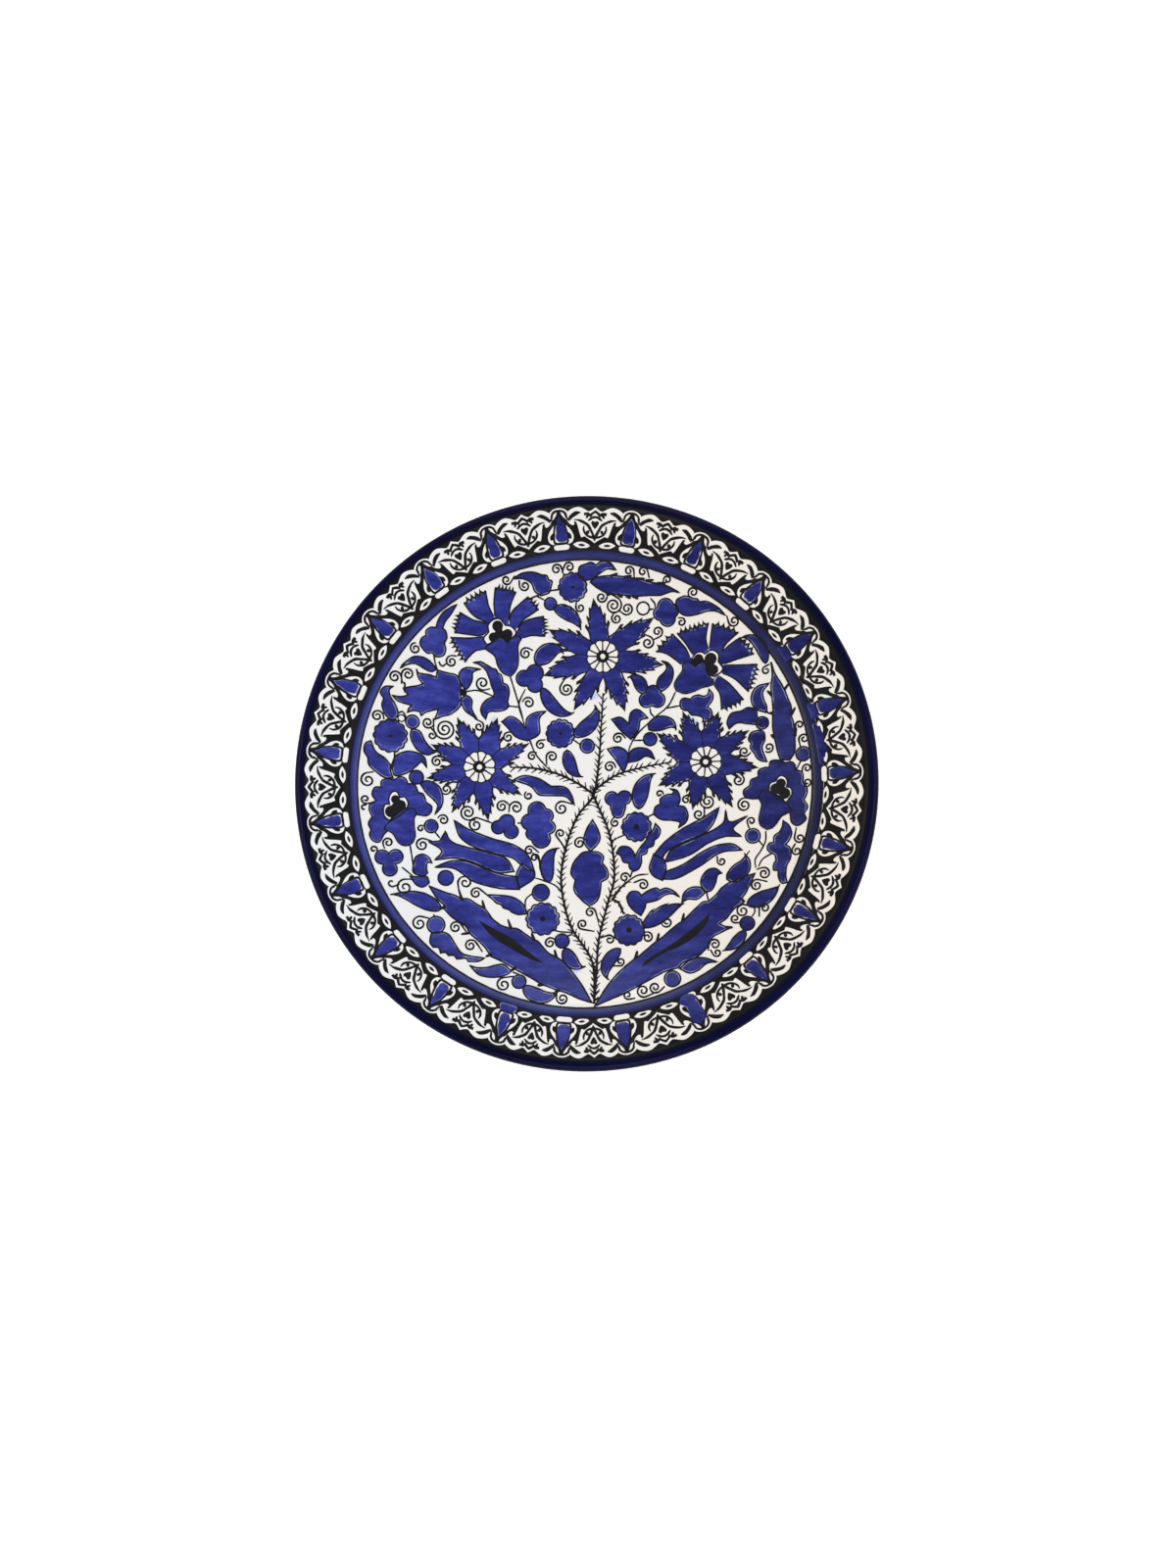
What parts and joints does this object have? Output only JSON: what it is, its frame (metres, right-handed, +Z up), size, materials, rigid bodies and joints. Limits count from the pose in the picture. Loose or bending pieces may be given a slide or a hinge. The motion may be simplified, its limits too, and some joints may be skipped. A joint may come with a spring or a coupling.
{
  "type": "decorative plate",
  "caption": "Round shallow ceramic plate on a foot ring, with a painted cobalt flower picture in the well and a printed black and white border on the flange.",
  "frame": {"origin": "the plate's axis, in the plane that the foot ring rests on", "axes": "+Z up out of the face along the plate's axis, +Y towards the top of the painted picture, +X to its right"},
  "size_m": [0.27, 0.27, 0.0322],
  "materials": {
    "clay": "matt fired clay, bare on the foot ring's resting edge",
    "cream_glaze": "glossy off-white glaze",
    "navy_glaze": "glossy dark navy glaze",
    "black_print": "black print under a glossy glaze",
    "cobalt_enamel": "brushed cobalt blue, slightly raised, glossy"
  },
  "bodies": {
    "root": {"clay_body": "clay", "face_glaze": "cream_glaze", "back_glaze": "cream_glaze", "recess_glaze": "cream_glaze", "rim_band": "navy_glaze", "border_ground": "black_print", "well_ring": "cobalt_enamel", "star_flower_top": "cobalt_enamel", "star_flower_left": "cobalt_enamel", "star_flower_right": "cobalt_enamel", "carnation_left": "cobalt_enamel", "carnation_right": "cobalt_enamel", "side_flower_left": "cobalt_enamel", "side_flower_right": "cobalt_enamel", "tulip_left": "cobalt_enamel", "tulip_right": "cobalt_enamel", "long_leaf_left": "cobalt_enamel", "long_leaf_right": "cobalt_enamel", "centre_bud": "cobalt_enamel", "lily": "cobalt_enamel", "top_leaf": "cobalt_enamel", "side_leaf": "cobalt_enamel", "border_drop_01": "cobalt_enamel", "border_drop_02": "cobalt_enamel", "border_drop_03": "cobalt_enamel", "border_drop_04": "cobalt_enamel", "border_drop_05": "cobalt_enamel", "border_drop_06": "cobalt_enamel", "border_drop_07": "cobalt_enamel", "border_drop_08": "cobalt_enamel", "border_drop_09": "cobalt_enamel", "border_drop_10": "cobalt_enamel", "border_drop_11": "cobalt_enamel", "border_drop_12": "cobalt_enamel", "border_drop_13": "cobalt_enamel", "border_drop_14": "cobalt_enamel", "border_drop_15": "cobalt_enamel", "border_drop_16": "cobalt_enamel", "border_drop_17": "cobalt_enamel", "border_drop_18": "cobalt_enamel", "border_drop_19": "cobalt_enamel", "border_drop_20": "cobalt_enamel", "border_drop_21": "cobalt_enamel", "border_drop_22": "cobalt_enamel", "border_drop_23": "cobalt_enamel"}
  },
  "joints": []
}
